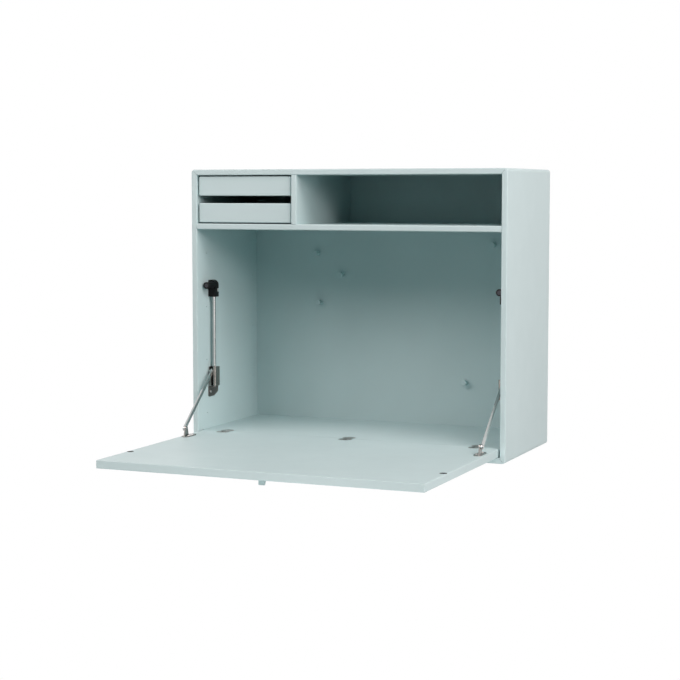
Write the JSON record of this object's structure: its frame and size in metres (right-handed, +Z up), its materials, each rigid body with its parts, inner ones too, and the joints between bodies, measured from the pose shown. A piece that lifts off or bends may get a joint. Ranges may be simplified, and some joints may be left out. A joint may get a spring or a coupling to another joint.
{
  "type": "fold down wall desk",
  "caption": "Shallow wall cabinet whose writing flap folds down on flush hinges and sliding stays, with small drawers and an open bay above the desk compartment.",
  "frame": {"origin": "midway between the two wall screw holes, in the plane of the wall", "axes": "+X right as seen from the front, +Y to the wall, +Z up; stored with the flap down"},
  "size_m": [0.696, 0.7225, 0.5865],
  "materials": {
    "arm_steel": "bright steel",
    "bracket_steel": "zinc-plated steel",
    "drawer_box": "satin lacquer",
    "foot_steel": "nickel-plated steel",
    "hinge_zinc": "nickel-plated die-cast zinc",
    "holder_plastic": "black moulded plastic",
    "lacquered_board": "satin lacquer on fibreboard",
    "magnet_face": "nickel-plated magnet",
    "pin_steel": "bright steel",
    "screw_steel": "zinc-plated steel",
    "slider_steel": "nickel-plated folded steel",
    "strike_steel": "black",
    "tube_steel": "ground and nickel-plated steel",
    "wall_plate_steel": "zinc-plated steel"
  },
  "bodies": {
    "cabinet": {"top_panel": "lacquered_board", "bottom_panel": "lacquered_board", "side_panel_left": "lacquered_board", "side_panel_right": "lacquered_board", "back_panel": "lacquered_board", "middle_shelf": "lacquered_board", "divider": "lacquered_board", "floor_board": "lacquered_board", "back_pegs": "lacquered_board", "wall_plates": "wall_plate_steel", "wall_plate_screws": "screw_steel", "hinge_floor_halves": "hinge_zinc", "stay_tube_left": "tube_steel", "stay_tube_right": "tube_steel", "stay_holder_left": "holder_plastic", "stay_holder_right": "holder_plastic", "catch_magnets": "magnet_face", "tube_bracket_left": "bracket_steel", "tube_bracket_right": "bracket_steel", "stay_screws": "screw_steel", "drawer_runners": "drawer_box"},
    "flap": {"flap_board": "lacquered_board", "flap_pull": "lacquered_board", "hinge_flap_halves": "hinge_zinc", "hinge_pins": "pin_steel", "stay_foot_left": "foot_steel", "stay_foot_right": "foot_steel", "foot_pins": "pin_steel", "catch_strikes": "strike_steel"},
    "slider_left": {"slider_cover_left": "slider_steel", "slider_block_left": "holder_plastic"},
    "slider_right": {"slider_cover_right": "slider_steel", "slider_block_right": "holder_plastic"},
    "arm_left": {"stay_arm_left": "arm_steel", "arm_rivet_left": "arm_steel"},
    "arm_right": {"stay_arm_right": "arm_steel", "arm_rivet_right": "arm_steel"},
    "drawer_upper": {"drawer_front_upper": "lacquered_board", "drawer_sides_upper": "drawer_box", "drawer_back_upper": "drawer_box", "drawer_bottom_upper": "drawer_box"},
    "drawer_lower": {"drawer_front_lower": "lacquered_board", "drawer_sides_lower": "drawer_box", "drawer_back_lower": "drawer_box", "drawer_bottom_lower": "drawer_box"}
  },
  "joints": [
    {"name": "flap_hinge", "type": "hinge", "parent": "cabinet", "child": "flap", "pos_m": [0, -0.287, -0.5245], "axis": [-1, 0, 0], "range_deg": [0, 90]},
    {"name": "slider_left_slide", "type": "slide", "parent": "cabinet", "child": "slider_left", "axis": [0, 0, 1], "range_m": [0, 0.127]},
    {"name": "arm_left_pivot", "type": "hinge", "parent": "flap", "child": "arm_left", "pos_m": [-0.3261, -0.38, -0.5], "axis": [1, 0, 0], "range_deg": [0, 136.4]},
    {"name": "slider_right_slide", "type": "slide", "parent": "cabinet", "child": "slider_right", "axis": [0, 0, 1], "range_m": [0, 0.127]},
    {"name": "arm_right_pivot", "type": "hinge", "parent": "flap", "child": "arm_right", "pos_m": [0.3261, -0.38, -0.5], "axis": [1, 0, 0], "range_deg": [0, 136.4]},
    {"name": "drawer_upper_slide", "type": "slide", "parent": "cabinet", "child": "drawer_upper", "axis": [0, -1, 0], "range_m": [0, 0.2]},
    {"name": "drawer_lower_slide", "type": "slide", "parent": "cabinet", "child": "drawer_lower", "axis": [0, -1, 0], "range_m": [0, 0.2]}
  ],
  "couplings": [
    {"joint": "slider_left_slide", "follows": "flap_hinge", "m_per_rad": 0.080813},
    {"joint": "arm_left_pivot", "follows": "flap_hinge", "ratio": 1.5151},
    {"joint": "slider_right_slide", "follows": "flap_hinge", "m_per_rad": 0.080813},
    {"joint": "arm_right_pivot", "follows": "flap_hinge", "ratio": 1.5151}
  ]
}
